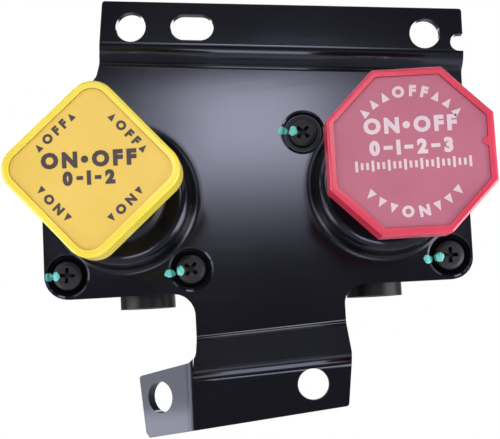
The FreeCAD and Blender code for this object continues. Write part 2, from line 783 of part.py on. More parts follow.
for side, centre in SIDES:
    node(guide(side, centre), side + "_guide")
    node(wiper(side, centre), side + "_wiper")
    node(o_ring(side + "_guide_ring", dim("guide_spigot_radius") - 0.75, 0.85, centre, -4.1, 0.0),
         side + "_guide_seal")


# Port inserts
def port_insert(label, thread, x, z):
    """A turned brass insert, knurl left plain, flush with its boss."""
    body = new_body(label + "_insert_body")
    start = dim("barrel_end") + dim("port_boss_length") - dim("insert_length")
    wall = dim("insert_radius") - 0.02
    length = dim("insert_length")
    profile = [(thread, 0.0), (wall, 0.0), (wall, length * 0.35), (wall - 0.8, length * 0.35),
               (wall - 0.8, length * 0.5), (wall, length * 0.5), (wall, length),
               (thread + 0.9, length), (thread, length - 0.9)]
    turn(body, label + "_insert_turn", profile, x, start, z)
    return body


PORTS = (("park_delivery", dim("delivery_thread_radius"), PARK, 0.0),
         ("trailer_delivery", dim("delivery_thread_radius"), SUPPLY, 0.0),
         ("primary_supply", dim("supply_thread_radius"), 0.0, dim("supply_port_height")),
         ("secondary_supply", dim("supply_thread_radius"), 0.0, -dim("supply_port_height")))
for label, thread, x, z in PORTS:
    node(port_insert(label, thread, x, z), label + "_insert")


# Double check valve between the two supply ports
def upright_turn(name, profile, y, z):
    """Revolves a (radius, height) profile about an upright axis."""
    body = new_body(name)
    drawing = draw(body, name + "_profile", "XZ_Plane", [profile])
    feature = body.newObject("PartDesign::Revolution", name + "_turn")
    feature.Profile = drawing
    feature.ReferenceAxis = (drawing, ["V_Axis"])
    feature.Angle = 360.0
    return place(body, y=y, z=z)


SHUTTLE = dim("shuttle_radius")
half_shuttle = dim("shuttle_length") / 2.0
node(upright_turn("shuttle_body", [
    (0.0, -half_shuttle), (SHUTTLE - 2.0, -half_shuttle), (SHUTTLE, 2.0 - half_shuttle),
    (SHUTTLE, -1.4), (SHUTTLE - 1.6, -1.0), (SHUTTLE - 1.6, 1.0), (SHUTTLE, 1.4),
    (SHUTTLE, half_shuttle - 2.0), (SHUTTLE - 2.0, half_shuttle), (0.0, half_shuttle)],
    dim("shuttle_depth"), 0.0), "check_shuttle")

node(upright_turn("check_seat_body", [
    (dim("seat_bore_radius"), 0.0), (SHUTTLE + 0.09, 0.0), (SHUTTLE + 0.09, 2.2),
    (dim("seat_bore_radius"), 2.2)],
    dim("shuttle_depth"), SHUTTLE_REACH), "check_seat")

CAP_SEAT = dim("centre_half_height")
node(upright_turn("check_cap_body", [
    (0.0, -3.6), (SHUTTLE, -3.6), (SHUTTLE, -2.9), (SHUTTLE - 1.4, -2.9), (SHUTTLE - 1.4, -1.1),
    (SHUTTLE, -1.1), (SHUTTLE, 0.0), (SHUTTLE + 2.4, 0.0), (SHUTTLE + 2.4, 1.8), (0.0, 1.8)],
    dim("shuttle_depth"), CAP_SEAT), "check_cap")

node(upright_turn("check_cap_ring", section_points(SHUTTLE - 0.65, Size(0.7, "(0.7)"), 0.0),
                  dim("shuttle_depth"), CAP_SEAT - 2.0), "check_cap_seal")

retainer = new_body("check_retainer_body")
strap = [(-6.5, -7.0), (6.5, -7.0), (6.5, 4.0), (4.0, 13.8), (-4.0, 13.8), (-6.5, 4.0)]
pad(retainer, "retainer_pad", draw(retainer, "retainer_outline", "XY_Plane", [strap],
                                   [(0.0, 10.5, 1.9)]), 1.6)
node(place(retainer, y=dim("shuttle_depth"), z=CAP_SEAT + 1.8), "check_retainer")

node(upright_turn("retainer_screw_body", [
    (0.0, 2.2), (1.8, 2.1), (3.0, 1.4), (3.1, 0.0), (1.5, 0.0), (1.5, -9.0), (1.0, -9.8),
    (0.0, -9.8)],
    dim("shuttle_depth") + 10.5, CAP_SEAT + 3.4), "retainer_screw")


# Plungers
REACH = dim("knob_reach")
STEM_SHOULDER = REACH - dim("knob_thick") - dim("knob_hub_length")
SPOOL_FRONT = Size(0.3, "(0.3)")
SPRING_SEAT = SPOOL_FRONT + dim("spool_web")


def stem(side, centre):
    """The stem: a threaded tip in the knob, a ground shank and a reduced tail."""
    body = new_body(side + "_stem_body")
    shank = dim("stem_radius")
    thread = dim("stem_thread_radius") - 0.05
    tail_end = SPRING_SEAT + dim("nut_height") + 0.6
    tip = -REACH + dim("knob_floor") + 1.0
    profile = [(0.0, tip), (thread - 0.7, tip), (thread, tip + 0.7), (thread, -STEM_SHOULDER),
               (shank - 0.6, -STEM_SHOULDER), (shank, -STEM_SHOULDER + 0.6), (shank, SPOOL_FRONT),
               (thread, SPOOL_FRONT), (thread, tail_end), (0.0, tail_end)]
    turn(body, side + "_stem_turn", profile, x=centre)
    return body


SEAL_DEPTHS = (4.0, 12.0, 22.0)


def spool(side, centre):
    """A spool with three ring grooves and a cup at the back for its spring."""
    body = new_body(side + "_spool_body")
    outer = dim("spool_radius")
    floor = dim("bore_radius") - dim("fit_gap") - dim("seal_section") * 2.0
    half = dim("seal_section") + 0.2
    hole = dim("stem_thread_radius")
    cup = dim("spool_cup_radius")
    profile = [(hole, SPOOL_FRONT), (outer - 1.0, SPOOL_FRONT), (outer, SPOOL_FRONT + 1.0)]
    for depth in SEAL_DEPTHS:
        profile += [(outer, depth - half), (floor, depth - half),
                    (floor, depth + half), (outer, depth + half)]
    back = SPOOL_FRONT + dim("spool_length")
    profile += [(outer, back), (cup, back), (cup, SPRING_SEAT), (hole, SPRING_SEAT)]
    turn(body, side + "_spool_turn", profile, x=centre)
    return body


def seal_set(side, centre):
    middle = dim("bore_radius") - dim("fit_gap") - dim("seal_section")
    rings = [o_ring("%s_seal_%d" % (side, index + 1), middle, dim("seal_section"), centre, depth, 0.0)
             for index, depth in enumerate(SEAL_DEPTHS)]
    return compound(side + "_seal_set", rings)


def spring(side, centre):
    """A compression spring from the spool's cup to the bore's floor."""
    wire = dim("spring_wire")
    length = dim("bore_floor") - SPRING_SEAT - wire * 2.0 - 0.1
    path = doc.addObject("Part::Helix", side + "_spring_path")
    bind(path, "Radius", dim("spring_radius"))
    bind(path, "Height", length)
    bind(path, "Pitch", length / dim("spring_turns"))
    place(path, centre, SPRING_SEAT + wire + 0.05, 0.0, **ALONG_Y)
    section = doc.addObject("Part::RegularPolygon", side + "_spring_section")
    section.Polygon = 6
    bind(section, "Circumradius", wire)
    place(section, centre + dim("spring_radius"), SPRING_SEAT + wire + 0.05, 0.0)
    sweep = doc.addObject("Part::Sweep", side + "_spring_sweep")
    sweep.Sections = [section]
    sweep.Spine = (path, [])
    sweep.Solid = True
    sweep.Frenet = True
    return sweep


def nut(side, centre):
    """The hexagon nut that holds the spool on its stem."""
    body = new_body(side + "_nut_body")
    corner = dim("nut_across_flats") / math.sqrt(3.0)
    hexagon = [(corner * math.cos(math.radians(60.0 * k + 30.0)),
                corner * math.sin(math.radians(60.0 * k + 30.0))) for k in range(6)]
    pad(body, side + "_nut_pad", draw(body, side + "_nut_outline", "XZ_Plane", [hexagon],
                                      [(0.0, 0.0, dim("stem_thread_radius"))]),
        dim("nut_height"), True)
    return place(body, centre, SPRING_SEAT, 0.0)


for side, centre in SIDES:
    node(stem(side, centre), side + "_stem")
    node(spool(side, centre), side + "_spool")
    node(seal_set(side, centre), side + "_spool_seals")
    node(nut(side, centre), side + "_stem_nut")
    node(spring(side, centre), side + "_spring")


# Knobs
def regular_octagon(across):
    """Corners of an octagon with flat top, from its width across flats."""
    half = across / 2.0
    short = half * math.tan(math.radians(22.5))
    return [(short, half), (half, short), (half, -short), (short, -half),
            (-short, -half), (-half, -short), (-half, short), (-short, half)]


def square(side):
    half = side / 2.0
    return [(half, half), (half, -half), (-half, -half), (-half, half)]


def prism(name, outline, corner, start, thick):
    """A rounded prism of the outline in X and Z, from start and thick along Y."""
    body = new_body(name)
    drawing = draw(body, name + "_outline", "XZ_Plane", [outline], offset=-start)
    pad(body, name + "_pad", drawing, thick, True)
    if number(corner) > 0.0:
        for index, (x, z) in enumerate(outline):
            round_edges(body, "%s_corner_%d" % (name, index), corner,
                        lambda edge, x=x, z=z: upright(edge, x, z))
    return body


def knob(name, outline, inset, hollow, corner, soft, centre, twist):
    """A moulded knob: recessed face for its label, hollow back, hub and four ribs."""
    thick = dim("knob_thick")
    floor = dim("knob_floor")
    block = prism(name + "_block", outline, corner, 0.0, thick)
    round_edges(block, name + "_front_edge", dim("knob_edge"),
                lambda edge: all(abs(v.Point.y) < 0.01 for v in edge.Vertexes))
    recess = prism(name + "_recess", inset, soft, -2.0, dim("label_recess") + 2.0)
    back = prism(name + "_hollow", hollow, soft, floor, thick)
    shell = cut(name + "_shell", block, [recess, back])
    arm = dim("rib_thick") / 2.0
    reach = dim("knob_hub_radius") + 7.6
    start = floor - 0.5
    depth = thick - floor - 1.0
    hub = cylinder(name + "_hub", dim("knob_hub_radius"),
                   thick - start + dim("knob_hub_length"), y=start, **ALONG_Y)
    across = prism(name + "_rib_across", [(-reach, arm), (reach, arm), (reach, -arm),
                                          (-reach, -arm)], 0.0, start, depth)
    down = prism(name + "_rib_down", [(-arm, reach), (arm, reach), (arm, -reach),
                                      (-arm, -reach)], 0.0, start, depth)
    socket = cylinder(name + "_socket", 5.4, 30.0, y=floor, **ALONG_Y)
    whole = cut(name + "_whole", fuse(name + "_solid", [shell, hub, across, down]), [socket])
    return place(whole, centre, -REACH, 0.0, axis=(0, 1, 0), angle=twist)


def face_label(name, outline, corner, centre, twist):
    """The thin face plate that lies in the knob's recess."""
    body = prism(name, outline, corner, 0.0, dim("label_thick"))
    return place(body, centre, -REACH + dim("label_recess") - dim("label_thick"), 0.0,
                 axis=(0, 1, 0), angle=twist)


def knob_insert(side, centre):
    """The brass thread insert in the knob's hub."""
    body = new_body(side + "_knob_insert_body")
    thread = dim("stem_thread_radius")
    start = -REACH + dim("knob_floor")
    profile = [(thread, start + 0.2), (5.3, start + 0.2), (5.3, -STEM_SHOULDER - 0.2),
               (thread, -STEM_SHOULDER - 0.2)]
    turn(body, side + "_knob_insert_turn", profile, x=centre)
    return body


DIAMOND_TURN = 45.0 + dim("diamond_twist")
side_length = dim("diamond_side")
rim = dim("diamond_rim")
node(knob("park_knob_body", square(side_length), square(side_length - rim * 2.0),
          square(side_length - dim("knob_wall") * 2.0), dim("diamond_corner"),
          dim("diamond_corner") - rim, PARK, DIAMOND_TURN), "park_knob")
node(face_label("park_label_body", square(side_length - rim * 2.0 - dim("fit_gap") * 2.0),
                dim("diamond_corner") - rim - dim("fit_gap"), PARK, DIAMOND_TURN), "park_label")

across = dim("octagon_across")
label_across = dim("octagon_label_across")
node(knob("supply_knob_body", regular_octagon(across), regular_octagon(label_across),
          regular_octagon(across - dim("knob_wall") * 2.0), Size(0.8, "(0.8)"), 0.0, SUPPLY, 0.0),
     "supply_knob")
node(face_label("supply_label_body", regular_octagon(label_across - dim("fit_gap") * 2.0), 0.0,
                SUPPLY, 0.0), "supply_label")
for side, centre in SIDES:
    node(knob_insert(side, centre), side + "_knob_insert")


# Checks and files
doc.recompute()
for item in doc.Objects:
    if "Invalid" in item.State or "Error" in item.State:
        raise RuntimeError("%s failed: %s" % (item.Label, item.State))
for item in nodes:
    if item.Shape.isNull() or not item.Shape.isValid() or not item.Shape.Solids:
        raise RuntimeError("%s has no valid solid" % item.Label)

os.makedirs("parts", exist_ok=True)
for item in nodes:
    item.Shape.exportStep("parts/%s.step" % item.Label)
print("%d sub-parts written" % len(nodes))
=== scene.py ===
import json
import math

import bpy
import numpy as np
from mathutils import Matrix, Vector


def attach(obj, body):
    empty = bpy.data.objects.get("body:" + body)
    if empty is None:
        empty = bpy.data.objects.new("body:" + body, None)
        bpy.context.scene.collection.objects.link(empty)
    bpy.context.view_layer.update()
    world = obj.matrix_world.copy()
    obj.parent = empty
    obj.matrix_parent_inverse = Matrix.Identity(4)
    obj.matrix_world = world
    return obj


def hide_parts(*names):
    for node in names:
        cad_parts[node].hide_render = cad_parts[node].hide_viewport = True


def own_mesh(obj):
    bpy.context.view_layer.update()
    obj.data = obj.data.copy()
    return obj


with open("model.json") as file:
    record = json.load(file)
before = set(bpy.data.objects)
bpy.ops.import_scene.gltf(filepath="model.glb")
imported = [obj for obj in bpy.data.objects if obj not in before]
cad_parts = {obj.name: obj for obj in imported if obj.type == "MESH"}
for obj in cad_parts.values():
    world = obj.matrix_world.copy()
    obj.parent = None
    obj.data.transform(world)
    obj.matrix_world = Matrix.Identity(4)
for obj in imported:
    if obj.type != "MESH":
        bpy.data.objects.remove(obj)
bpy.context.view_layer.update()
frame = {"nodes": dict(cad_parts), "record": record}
nodes = frame["nodes"]
MM = 0.001

# Sizes and places in millimetres, as in the part's source
PLUNGER_X = 41.0
BOSSES = ((-PLUNGER_X, 0.0), (PLUNGER_X, 0.0))
COVER_SCREWS = ((-59.7, -23.3), (-48.9, 28.9), (-20.8, -23.3),
                (16.7, 18.1), (60.3, 22.6), (60.3, -23.3))
UPPER_FLANGE_DEPTH = -4.6
LOWER_FLANGE_DEPTH = -15.4
LABEL_FACE = -61.4


# Materials
class Shader:
    """A small helper that adds shader nodes and joins them."""

    def __init__(self, name):
        self.material = bpy.data.materials.new(name)
        self.material.use_nodes = True
        self.tree = self.material.node_tree
        self.tree.nodes.clear()
        self.output = self.add("ShaderNodeOutputMaterial")

    def add(self, kind, values=None, **settings):
        node = self.tree.nodes.new(kind)
        for key, value in settings.items():
            setattr(node, key, value)
        for key, value in (values or {}).items():
            self.give(node.inputs[key], value)
        return node

    def give(self, socket, value):
        if isinstance(value, bpy.types.NodeSocket):
            self.tree.links.new(value, socket)
        elif isinstance(value, (tuple, list)) and socket.type == "RGBA" and len(value) == 3:
            socket.default_value = (*value, 1.0)
        else:
            socket.default_value = value

    def math(self, operation, a, b=None, clamp=False):
        node = self.add("ShaderNodeMath", operation=operation, use_clamp=clamp)
        self.give(node.inputs[0], a)
        if b is not None:
            self.give(node.inputs[1], b)
        return node.outputs[0]

    def mix(self, factor, a, b):
        node = self.add("ShaderNodeMix", data_type="RGBA")
        self.give(node.inputs[0], factor)
        self.give(node.inputs[6], a)
        self.give(node.inputs[7], b)
        return node.outputs[2]

    def span(self, value, low, high, new_low, new_high):
        node = self.add("ShaderNodeMapRange", {"Value": value, "From Min": low, "From Max": high,
                                               "To Min": new_low, "To Max": new_high})
        return node.outputs[0]

    def place(self):
        return self.add("ShaderNodeTexCoord").outputs["Object"]

    def noise(self, scale, detail=3.0, rough=0.5, vector=None):
        """Noise whose scale is in waves a metre."""
        node = self.add("ShaderNodeTexNoise", {"Vector": vector or self.place(), "Scale": scale,
                                               "Detail": detail, "Roughness": rough})
        return node.outputs["Fac"]

    def stretched(self, x, y, z):
        node = self.add("ShaderNodeMapping", {"Vector": self.place(), "Scale": (x, y, z)})
        return node.outputs[0]

    def edges(self, radius):
        """0 on flat ground and 1 at sharp edges, from how far a bevelled normal turns."""
        bevel = self.add("ShaderNodeBevel", {"Radius": radius}, samples=4)
        ground = self.add("ShaderNodeNewGeometry").outputs["Normal"]
        turn = self.add("ShaderNodeVectorMath", operation="DOT_PRODUCT")
        self.give(turn.inputs[0], bevel.outputs[0])
        self.give(turn.inputs[1], ground)
        return self.span(turn.outputs["Value"], 0.99, 0.80, 0.0, 1.0)

    def reach_from(self, spots):
        """Distance, seen from the front, to the nearest of the spots given by x and z."""
        flat = self.add("ShaderNodeVectorMath", {0: self.place(), 1: (1.0, 0.0, 1.0)},
                        operation="MULTIPLY").outputs[0]
        nearest = 1.0
        for x, z in spots:
            apart = self.add("ShaderNodeVectorMath", {0: flat, 1: (x * MM, 0.0, z * MM)},
                             operation="DISTANCE").outputs["Value"]
            nearest = self.math("MINIMUM", apart, nearest)
        return nearest

    def painted_well_shade(self):
        """Painted shade: 0.12 on the floor of each cover screw's well, rising to 1 at the well's wall."""
        return self.span(self.reach_from(COVER_SCREWS), 5.7 * MM, 6.3 * MM, 0.12, 1.0)

    def boss_walls(self):
        """1 on the drawn walls of the two bosses, and 0 elsewhere."""
        reach = self.reach_from(BOSSES)
        return self.math("MULTIPLY", self.span(reach, 20.0 * MM, 21.0 * MM, 0.0, 1.0),
                         self.span(reach, 24.3 * MM, 25.6 * MM, 1.0, 0.0))

    def painted_web_light_mask(self):
        """1 on the two sloping webs that set the flanges forward, and 0 elsewhere; it masks the painted
        light that makes the webs paler.
        """
        _, y, z = self.add("ShaderNodeSeparateXYZ", {"Vector": self.place()}).outputs
        flange = self.span(z, -MM, MM, LOWER_FLANGE_DEPTH * MM, UPPER_FLANGE_DEPTH * MM)
        above = self.span(self.math("ABSOLUTE", z), 34.0 * MM, 35.0 * MM, 0.0, 1.0)
        ahead = self.span(y, -0.4 * MM, -1.2 * MM, 0.0, 1.0)
        behind = self.span(self.math("SUBTRACT", y, flange), 0.2 * MM, 0.8 * MM, 0.0, 1.0)
        return self.math("MULTIPLY", self.math("MULTIPLY", above, ahead), behind)

    def bump(self, height, strength, distance):
        node = self.add("ShaderNodeBump", {"Height": height, "Strength": strength,
                                           "Distance": distance})
        return node.outputs[0]

    def surface(self, **values):
        names = {key.replace("_", " ").title().replace("Ior", "IOR"): value
                 for key, value in values.items()}
        node = self.add("ShaderNodeBsdfPrincipled", names)
        self.tree.links.new(node.outputs[0], self.output.inputs[0])
        return node


def painted_black():
    """Glossy black paint on steel: faint orange peel, a little dust, fine rubs and worn edges.

    It is duller on the boss walls, where painted shade also darkens it; painted light makes it paler on the
    webs, and painted shade makes it darker in the wells and in corners.
    """
    s = Shader("cover_paint")
    broad = s.noise(28.0, 3.0)
    peel = s.noise(300.0, 2.0)
    patches = s.span(s.noise(260.0, 4.0, 0.7), 0.45, 0.75, 0.0, 1.0)
    worn = s.math("MULTIPLY", s.edges(0.0005), patches, clamp=True)
    dust = s.span(s.noise(1500.0, 2.0, 0.6), 0.70, 0.80, 0.0, 0.25)
    rubs = s.span(s.noise(160.0, 3.0, 0.6, s.stretched(0.15, 1.0, 1.6)), 0.56, 0.70, 0.0, 1.0)
    base = s.mix(broad, (0.0026, 0.0026, 0.0036), (0.0044, 0.0044, 0.0062))
    # Painted light: a paler base on the webs stands in for the light they reflect.
    pale = s.mix(broad, (0.0175, 0.0180, 0.0245), (0.0215, 0.0220, 0.0300))
    base = s.mix(s.painted_web_light_mask(), base, pale)
    base = s.mix(dust, base, (0.030, 0.030, 0.034))
    base = s.mix(s.math("MULTIPLY", worn, 0.30), base, (0.07, 0.07, 0.08))
    rough = s.math("ADD", s.span(broad, 0.3, 0.7, 0.095, 0.120), s.math("MULTIPLY", worn, 0.15))
    rough = s.math("ADD", rough, s.math("MULTIPLY", rubs, 0.02))
    walls = s.boss_walls()
    rough = s.math("ADD", rough, s.math("MULTIPLY", walls, 0.13))
    # Painted shade: occlusion and the well mask darken the base colour and dim the specular in the wells and
    # in corners.
    occlusion_shade = s.add("ShaderNodeAmbientOcclusion", {"Distance": 0.0016}, samples=6).outputs["AO"]
    depth = s.math("MULTIPLY", s.span(occlusion_shade, 0.15, 0.60, 0.2, 1.0), s.painted_well_shade(), clamp=True)
    # Painted shade: the boss walls are made darker here, with less specular.
    depth = s.math("MULTIPLY", depth, s.span(walls, 0.0, 1.0, 1.0, 0.85))
    base = s.mix(depth, (0.001, 0.001, 0.001), base)
    s.surface(base_color=base, roughness=rough, normal=s.bump(peel, 0.012, 0.0003), ior=1.5,
              specular_ior_level=s.math("MULTIPLY", depth, 0.5),
              specular_tint=(0.76, 0.77, 1.0))
    return s.material


def moulded(name, dark, light, rough=0.45, grain=2600.0, strength=0.10, coat=0.0,
            wear=(0.10, 0.10, 0.11), shine=0.5, shade=0.0):
    """Moulded plastic: a slow shift of colour, fine grain and paler edges; with shade set, painted shade
    darkens its recesses.
    """
    s = Shader(name)
    broad = s.noise(60.0, 3.0)
    fine = s.noise(grain, 2.0)
    edge = s.math("MULTIPLY", s.edges(0.0004), 0.30)
    base = s.mix(s.span(broad, 0.3, 0.7, 0.0, 1.0), dark, light)
    base = s.mix(edge, base, wear)
    if shade:
        # Painted shade: occlusion darkens the base colour and dims the shine in recesses.
        occlusion_shade = s.add("ShaderNodeAmbientOcclusion", {"Distance": shade}, samples=6).outputs["AO"]
        depth = s.span(occlusion_shade, 0.30, 0.85, 0.0, 1.0)
        base = s.mix(depth, (0.001, 0.001, 0.001), base)
        shine = s.math("MULTIPLY", depth, shine)
    s.surface(base_color=base, roughness=s.span(broad, 0.3, 0.7, rough - 0.05, rough + 0.05),
              normal=s.bump(fine, strength, 0.0002), coat_weight=coat, coat_roughness=0.08,
              specular_ior_level=shine)
    return s.material


def metal(name, dark, light, rough=0.3, across=(1.0, 1.0, 1.0), fine=1500.0):
    """Machined metal with fine lines round or along the piece and rubbed edges."""
    s = Shader(name)
    lines = s.noise(fine, 2.0, 0.6, s.stretched(*across))
    broad = s.noise(120.0, 3.0)
    base = s.mix(s.span(s.math("ADD", lines, broad), 0.6, 1.4, 0.0, 1.0), dark, light)
    base = s.mix(s.math("MULTIPLY", s.edges(0.0003), 0.4), base,
                 tuple(min(1.0, v * 1.4) for v in light))
    s.surface(base_color=base, metallic=1.0,
              roughness=s.span(lines, 0.3, 0.7, rough - 0.06, rough + 0.08),
              normal=s.bump(lines, 0.08, 0.0001))
    return s.material


SKINS = {
    "cover_paint": painted_black(),
    "gasket": moulded("gasket", (0.020, 0.020, 0.020), (0.032, 0.032, 0.032), 0.8),
    # The black screws get painted shade in their cross recesses.
    "black_screw": moulded("black_screw", (0.010, 0.010, 0.013), (0.017, 0.017, 0.021), 0.46,
                           wear=(0.09, 0.09, 0.10), shine=0.28, shade=0.0016),
    "housing": moulded("housing", (0.005, 0.005, 0.007), (0.009, 0.009, 0.012), 0.36, shine=0.30),
    "guide": moulded("guide", (0.004, 0.004, 0.005), (0.008, 0.008, 0.010), 0.50, shine=0.3),
    "seal": moulded("seal", (0.010, 0.010, 0.010), (0.016, 0.016, 0.016), 0.55),
    "yellow_knob": moulded("yellow_knob", (0.80, 0.62, 0.045), (0.86, 0.69, 0.070), 0.34, coat=0.30,
                           wear=(0.92, 0.80, 0.24)),
    "yellow_label": moulded("yellow_label", (0.75, 0.50, 0.085), (0.80, 0.55, 0.110), 0.42,
                            grain=5200.0, strength=0.05, wear=(0.85, 0.62, 0.25)),
    "red_knob": moulded("red_knob", (0.55, 0.022, 0.060), (0.63, 0.032, 0.080), 0.34, coat=0.30,
                        wear=(0.74, 0.16, 0.20)),
    "red_label": moulded("red_label", (0.40, 0.105, 0.170), (0.45, 0.130, 0.200), 0.44,
                         grain=5200.0, strength=0.05, wear=(0.55, 0.20, 0.26)),
    "brass": metal("brass", (0.55, 0.38, 0.14), (0.78, 0.58, 0.26), 0.28),
    "stem": metal("stem", (0.50, 0.51, 0.53), (0.72, 0.73, 0.75), 0.22, (1.0, 0.1, 1.0)),
    "spool": moulded("spool", (0.50, 0.48, 0.42), (0.60, 0.57, 0.50), 0.45),
    "bright_steel": metal("bright_steel", (0.42, 0.42, 0.44), (0.62, 0.62, 0.64), 0.32),
    "shuttle": moulded("shuttle", (0.015, 0.015, 0.016), (0.024, 0.024, 0.026), 0.6),
}
PRINT_DARK = moulded("print_dark", (0.045, 0.028, 0.030), (0.065, 0.042, 0.045), 0.42,
                     wear=(0.12, 0.09, 0.09))
PRINT_PALE = moulded("print_pale", (0.60, 0.46, 0.52), (0.68, 0.54, 0.60), 0.42,
                     wear=(0.75, 0.62, 0.68))
DAB = moulded("marking_paint", (0.06, 0.42, 0.39), (0.16, 0.62, 0.56), 0.25, coat=0.3,
              wear=(0.25, 0.65, 0.6))

for part in frame["record"]["subparts"]:
    skin = SKINS[part["material_slot"]]
    item = nodes[part["node"]]
    if item.material_slots:
        for place in item.material_slots:
            place.material = skin
    else:
        item.data.materials.append(skin)


# New pieces
def piece(name, verts, faces, skin, body, stands_for=()):
    """Makes a mesh from an (n, 3) array in millimetres and a list or array of faces."""
    mesh = bpy.data.meshes.new(name)
    places = (np.asarray(verts, float) * MM).tolist()
    mesh.from_pydata(places, [], [list(map(int, face)) for face in faces])
    mesh.update()
    item = bpy.data.objects.new(name, mesh)
    bpy.context.scene.collection.objects.link(item)
    mesh.materials.append(skin)
    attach(item, body)
    if stands_for:
        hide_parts(*stands_for)
    return item


def glyph(text, size, weight=0.0, tight=1.0):
    """Outlines of a word as flat triangles: (n, 2) corners centred on the word, and faces."""
    curve = bpy.data.curves.new("word", "FONT")
    curve.body = text
    curve.size = size
    curve.offset = weight
    curve.space_character = tight
    curve.resolution_u = 3
    curve.fill_mode = "FRONT"
    holder = bpy.data.objects.new("word", curve)
    bpy.context.scene.collection.objects.link(holder)
    bpy.context.view_layer.update()
    mesh = bpy.data.meshes.new_from_object(holder)
    corners = np.array([v.co[:2] for v in mesh.vertices], float).reshape(-1, 2)
    faces = [tuple(f.vertices) for f in mesh.polygons]
    bpy.data.objects.remove(holder)
    bpy.data.curves.remove(curve)
    bpy.data.meshes.remove(mesh)
    middle = (corners.min(0) + corners.max(0)) / 2.0
    return corners - middle, faces


def arrow(width, height):
    """A plain solid triangle that points up."""
    corners = np.array([(-width / 2, -height / 2), (width / 2, -height / 2), (0.0, height / 2)])
    return corners, [(0, 1, 2)]


def bar(width, height):
    corners = np.array([(-width / 2, -height / 2), (width / 2, -height / 2),
                        (width / 2, height / 2), (-width / 2, height / 2)])
    return corners, [(0, 1, 2, 3)]


def disc(width):
    """A plain round dot with twenty sides."""
    a = np.linspace(0.0, 2.0 * np.pi, 20, endpoint=False)
    return np.column_stack([np.cos(a), np.sin(a)]) * width / 2.0, [tuple(range(20))]


def turned(corners, degrees):
    a = math.radians(degrees)
    return corners @ np.array([[math.cos(a), math.sin(a)], [-math.sin(a), math.cos(a)]])


def letters(word, size, weight):
    return [glyph(letter, size, weight) for letter in word]


class Print:
    """Collects flat marks on a face plate, then makes them one thin raised mesh."""

    RISE = 0.06
    THICK = 0.055

    def __init__(self):
        self.corners = []
        self.faces = []
        self.count = 0

    def add(self, shape, at, degrees=0.0, stretch=1.0):
        corners, faces = shape
        moved = turned(corners * (stretch, 1.0), degrees) + at
        self.corners.append(moved)
        self.faces += [tuple(i + self.count for i in face) for face in faces]
        self.count += len(moved)

    def line(self, shapes, middle, gap, degrees=0.0, stretch=1.0):
        """Sets shapes side by side along a line through the middle point."""
        widths = [np.ptp(shape[0][:, 0]) * stretch for shape in shapes]
        start = -(sum(widths) + gap * (len(shapes) - 1)) / 2.0
        for shape, width in zip(shapes, widths):
            step = turned(np.array([[start + width / 2.0, 0.0]]), degrees)[0]
            self.add(shape, np.asarray(middle) + step, degrees, stretch)
            start += width + gap

    def arc(self, shapes, radius, centre_degrees, gap, inward=1.0):
        """Sets shapes round an arc, each upright on it; inward is -1 for a lower arc."""
        widths = [np.ptp(shape[0][:, 0]) for shape in shapes]
        start = -(sum(widths) + gap * (len(shapes) - 1)) / 2.0
        for shape, width in zip(shapes, widths):
            swing = math.degrees((start + width / 2.0) / radius)
            angle = centre_degrees - swing * inward
            at = (radius * math.cos(math.radians(angle)), radius * math.sin(math.radians(angle)))
            self.add(shape, at, angle - 90.0 if inward > 0 else angle + 90.0)
            start += width + gap

    def make(self, name, x, skin, body):
        """Lifts the flat marks off the label's face by a thin layer with closed sides."""
        flat = np.vstack(self.corners)
        count = len(flat)
        front = np.column_stack([flat[:, 0] + x, np.full(count, LABEL_FACE - self.RISE), flat[:, 1]])
        back = front + (0.0, self.THICK, 0.0)
        faces = list(self.faces) + [tuple(i + count for i in face[::-1]) for face in self.faces]
        edges = {}
        for face in self.faces:
            for a, b in zip(face, face[1:] + face[:1]):
                edges[(a, b)] = True
        rim = [(b, a, a + count, b + count) for a, b in edges if (b, a) not in edges]
        return piece(name, np.vstack([front, back]), faces + rim, skin, body)


def supply_marks():
    """Pale marks on the red face: two arcs with arrows, a switch line, digits and a row of ticks."""
    red = Print()
    up, down, dash = arrow(2.1, 2.5), arrow(-2.1, -2.5), bar(2.3, 1.0)
    arc_radius, arc_size, digit_size, word_size = 15.6, 3.7, 4.8, 5.2
    red.arc([up] * 3 + letters("OFF", arc_size, 0.22) + [up] * 3, arc_radius, 88.0, 1.25)
    red.line(letters("ON", word_size, 0.30) + [disc(1.9)] + letters("OFF", word_size, 0.30),
             (0.0, 6.8), 0.85)
    digits = letters("0", digit_size, 0.30)
    for digit in "123":
        digits += [dash] + letters(digit, digit_size, 0.30)
    red.line(digits, (-0.1, 1.1), 0.95)
    tall, short = bar(0.7, 2.8), bar(0.7, 1.8)
    red.line([tall, short, short] * 7 + [tall], (0.2, -3.4), 0.68)
    red.arc([down] * 3 + letters("ON", arc_size, 0.22) + [down] * 3, arc_radius, 270.0, 1.25, -1.0)
    red.make("supply_marks", PLUNGER_X, PRINT_PALE, "supply_plunger")


def park_marks():
    """Dark marks on the yellow face: one word with arrows along each side, a switch line and digits."""
    yellow = Print()
    twist, word_size, digit_size, side_size = 3.3, 5.2, 4.5, 3.1
    for word, around, spin, out, sign in (("OFF", 135.0, 45.0, 13.3, 1.0), ("OFF", 45.0, -45.0, 13.3, 1.0),
                                          ("ON", 225.0, -45.0, 13.0, -1.0), ("ON", 315.0, 45.0, 13.0, -1.0)):
        way = math.radians(around - twist)
        point = arrow(1.7 * sign, 2.1 * sign)
        yellow.line([point] + letters(word, side_size, 0.20) + [point],
                    (out * math.cos(way), out * math.sin(way)), 1.0, spin - twist)
    yellow.line(letters("ON", word_size, 0.34) + [disc(1.9)] + letters("OFF", word_size, 0.34),
                (-0.4, 2.5), 0.9)
    digits = letters("0", digit_size, 0.32)
    for digit in "12":
        digits += [bar(1.7, 1.0)] + letters(digit, digit_size, 0.32)
    yellow.line(digits, (-0.5, -2.3), 0.95)
    yellow.make("park_marks", -PLUNGER_X, PRINT_DARK, "park_plunger")


supply_marks()
park_marks()


